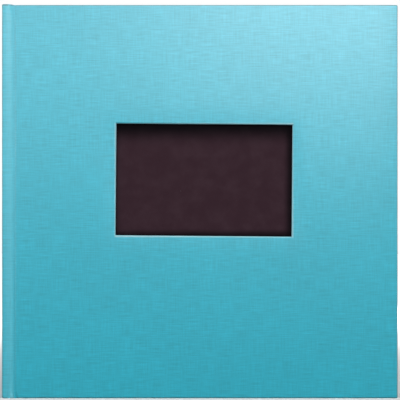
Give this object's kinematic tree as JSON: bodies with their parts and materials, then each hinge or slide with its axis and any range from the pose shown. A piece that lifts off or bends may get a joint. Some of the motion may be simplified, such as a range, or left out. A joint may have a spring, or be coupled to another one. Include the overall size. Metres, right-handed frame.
{
  "type": "scrapbook album",
  "caption": "Square cloth-bound scrapbook album with a landscape window in its front cover, black card leaves and a hidden screw-post binding.",
  "frame": {"origin": "middle of the closed album's footprint, on the plane of its tail edges", "axes": "+X from spine to fore edge, +Y from front cover to back cover, +Z from tail to head"},
  "size_m": [0.32, 0.0362, 0.318],
  "materials": {
    "bookcloth": "turquoise woven bookcloth",
    "lining_paper": "matte black lining paper",
    "lining_cloth": "black lining cloth",
    "greyboard": "raw grey board",
    "flap_board": "thin black board",
    "leaf_card": "matte black card, 300 gsm",
    "spacer_card": "matte black card strip",
    "pocket_paper": "smooth black paper",
    "tape": "black double-sided mounting tape",
    "insert_card": "black card seen through the window",
    "post_metal": "brass-plated screw posts"
  },
  "bodies": {
    "binding": {"spine_board": "greyboard", "spine_cloth": "bookcloth", "spine_lining": "lining_paper", "front_joint_cloth": "bookcloth", "back_joint_cloth": "bookcloth", "front_inner_hinge": "lining_cloth", "back_inner_hinge": "lining_cloth", "front_flap": "flap_board", "back_flap": "flap_board", "leaf_stubs": "leaf_card", "spacer_strips": "spacer_card", "screw_posts": "post_metal", "post_screws": "post_metal"},
    "front_cover": {"front_board": "greyboard", "front_cloth": "bookcloth", "front_lining": "lining_paper", "pocket_tape": "tape", "pocket_sheet": "pocket_paper"},
    "back_cover": {"back_board": "greyboard", "back_cloth": "bookcloth", "back_lining": "lining_paper"},
    "window_card": {"window_card": "insert_card"},
    "leaf_01": {"leaf_01": "leaf_card"},
    "leaf_02": {"leaf_02": "leaf_card"},
    "leaf_03": {"leaf_03": "leaf_card"},
    "leaf_04": {"leaf_04": "leaf_card"},
    "leaf_05": {"leaf_05": "leaf_card"},
    "leaf_06": {"leaf_06": "leaf_card"},
    "leaf_07": {"leaf_07": "leaf_card"},
    "leaf_08": {"leaf_08": "leaf_card"},
    "leaf_09": {"leaf_09": "leaf_card"},
    "leaf_10": {"leaf_10": "leaf_card"},
    "leaf_11": {"leaf_11": "leaf_card"},
    "leaf_12": {"leaf_12": "leaf_card"},
    "leaf_13": {"leaf_13": "leaf_card"},
    "leaf_14": {"leaf_14": "leaf_card"},
    "leaf_15": {"leaf_15": "leaf_card"},
    "leaf_16": {"leaf_16": "leaf_card"},
    "leaf_17": {"leaf_17": "leaf_card"},
    "leaf_18": {"leaf_18": "leaf_card"},
    "leaf_19": {"leaf_19": "leaf_card"},
    "leaf_20": {"leaf_20": "leaf_card"}
  },
  "joints": [
    {"name": "front_cover_open", "type": "hinge", "parent": "binding", "child": "front_cover", "pos_m": [-0.155, -0.0166, 0.159], "axis": [0, 0, -1], "range_deg": [0, 178], "deforming": ["front_joint_cloth", "front_inner_hinge"]},
    {"name": "back_cover_open", "type": "hinge", "parent": "binding", "child": "back_cover", "pos_m": [-0.155, 0.0166, 0.159], "axis": [0, 0, 1], "range_deg": [0, 178], "deforming": ["back_joint_cloth", "back_inner_hinge"]},
    {"name": "window_card_slide", "type": "slide", "parent": "front_cover", "child": "window_card", "axis": [0, 0, 1], "range_m": [0, 0.102]},
    {"name": "leaf_01_turn", "type": "hinge", "parent": "binding", "child": "leaf_01", "pos_m": [-0.12982, -0.0114, 0.159], "axis": [0, 0, -1], "range_deg": [0, 80.1]},
    {"name": "leaf_02_turn", "type": "hinge", "parent": "binding", "child": "leaf_02", "pos_m": [-0.12982, -0.0102, 0.159], "axis": [0, 0, -1], "range_deg": [0, 72.09]},
    {"name": "leaf_03_turn", "type": "hinge", "parent": "binding", "child": "leaf_03", "pos_m": [-0.12982, -0.009, 0.159], "axis": [0, 0, -1], "range_deg": [0, 64.08]},
    {"name": "leaf_04_turn", "type": "hinge", "parent": "binding", "child": "leaf_04", "pos_m": [-0.12982, -0.0078, 0.159], "axis": [0, 0, -1], "range_deg": [0, 56.07]},
    {"name": "leaf_05_turn", "type": "hinge", "parent": "binding", "child": "leaf_05", "pos_m": [-0.12982, -0.0066, 0.159], "axis": [0, 0, -1], "range_deg": [0, 48.06]},
    {"name": "leaf_06_turn", "type": "hinge", "parent": "binding", "child": "leaf_06", "pos_m": [-0.12982, -0.0054, 0.159], "axis": [0, 0, -1], "range_deg": [0, 40.05]},
    {"name": "leaf_07_turn", "type": "hinge", "parent": "binding", "child": "leaf_07", "pos_m": [-0.12982, -0.0042, 0.159], "axis": [0, 0, -1], "range_deg": [0, 32.04]},
    {"name": "leaf_08_turn", "type": "hinge", "parent": "binding", "child": "leaf_08", "pos_m": [-0.12982, -0.003, 0.159], "axis": [0, 0, -1], "range_deg": [0, 24.03]},
    {"name": "leaf_09_turn", "type": "hinge", "parent": "binding", "child": "leaf_09", "pos_m": [-0.12982, -0.0018, 0.159], "axis": [0, 0, -1], "range_deg": [0, 16.02]},
    {"name": "leaf_10_turn", "type": "hinge", "parent": "binding", "child": "leaf_10", "pos_m": [-0.12982, -0.0006, 0.159], "axis": [0, 0, -1], "range_deg": [0, 8.01]},
    {"name": "leaf_11_turn", "type": "hinge", "parent": "binding", "child": "leaf_11", "pos_m": [-0.12982, 0.0006, 0.159], "axis": [0, 0, 1], "range_deg": [0, 8.01]},
    {"name": "leaf_12_turn", "type": "hinge", "parent": "binding", "child": "leaf_12", "pos_m": [-0.12982, 0.0018, 0.159], "axis": [0, 0, 1], "range_deg": [0, 16.02]},
    {"name": "leaf_13_turn", "type": "hinge", "parent": "binding", "child": "leaf_13", "pos_m": [-0.12982, 0.003, 0.159], "axis": [0, 0, 1], "range_deg": [0, 24.03]},
    {"name": "leaf_14_turn", "type": "hinge", "parent": "binding", "child": "leaf_14", "pos_m": [-0.12982, 0.0042, 0.159], "axis": [0, 0, 1], "range_deg": [0, 32.04]},
    {"name": "leaf_15_turn", "type": "hinge", "parent": "binding", "child": "leaf_15", "pos_m": [-0.12982, 0.0054, 0.159], "axis": [0, 0, 1], "range_deg": [0, 40.05]},
    {"name": "leaf_16_turn", "type": "hinge", "parent": "binding", "child": "leaf_16", "pos_m": [-0.12982, 0.0066, 0.159], "axis": [0, 0, 1], "range_deg": [0, 48.06]},
    {"name": "leaf_17_turn", "type": "hinge", "parent": "binding", "child": "leaf_17", "pos_m": [-0.12982, 0.0078, 0.159], "axis": [0, 0, 1], "range_deg": [0, 56.07]},
    {"name": "leaf_18_turn", "type": "hinge", "parent": "binding", "child": "leaf_18", "pos_m": [-0.12982, 0.009, 0.159], "axis": [0, 0, 1], "range_deg": [0, 64.08]},
    {"name": "leaf_19_turn", "type": "hinge", "parent": "binding", "child": "leaf_19", "pos_m": [-0.12982, 0.0102, 0.159], "axis": [0, 0, 1], "range_deg": [0, 72.09]},
    {"name": "leaf_20_turn", "type": "hinge", "parent": "binding", "child": "leaf_20", "pos_m": [-0.12982, 0.0114, 0.159], "axis": [0, 0, 1], "range_deg": [0, 80.1]}
  ],
  "couplings": [
    {"joint": "leaf_01_turn", "follows": "front_cover_open", "ratio": 0.45},
    {"joint": "leaf_02_turn", "follows": "front_cover_open", "ratio": 0.405},
    {"joint": "leaf_03_turn", "follows": "front_cover_open", "ratio": 0.36},
    {"joint": "leaf_04_turn", "follows": "front_cover_open", "ratio": 0.315},
    {"joint": "leaf_05_turn", "follows": "front_cover_open", "ratio": 0.27},
    {"joint": "leaf_06_turn", "follows": "front_cover_open", "ratio": 0.225},
    {"joint": "leaf_07_turn", "follows": "front_cover_open", "ratio": 0.18},
    {"joint": "leaf_08_turn", "follows": "front_cover_open", "ratio": 0.135},
    {"joint": "leaf_09_turn", "follows": "front_cover_open", "ratio": 0.09},
    {"joint": "leaf_10_turn", "follows": "front_cover_open", "ratio": 0.045},
    {"joint": "leaf_11_turn", "follows": "back_cover_open", "ratio": 0.045},
    {"joint": "leaf_12_turn", "follows": "back_cover_open", "ratio": 0.09},
    {"joint": "leaf_13_turn", "follows": "back_cover_open", "ratio": 0.135},
    {"joint": "leaf_14_turn", "follows": "back_cover_open", "ratio": 0.18},
    {"joint": "leaf_15_turn", "follows": "back_cover_open", "ratio": 0.225},
    {"joint": "leaf_16_turn", "follows": "back_cover_open", "ratio": 0.27},
    {"joint": "leaf_17_turn", "follows": "back_cover_open", "ratio": 0.315},
    {"joint": "leaf_18_turn", "follows": "back_cover_open", "ratio": 0.36},
    {"joint": "leaf_19_turn", "follows": "back_cover_open", "ratio": 0.405},
    {"joint": "leaf_20_turn", "follows": "back_cover_open", "ratio": 0.45}
  ]
}
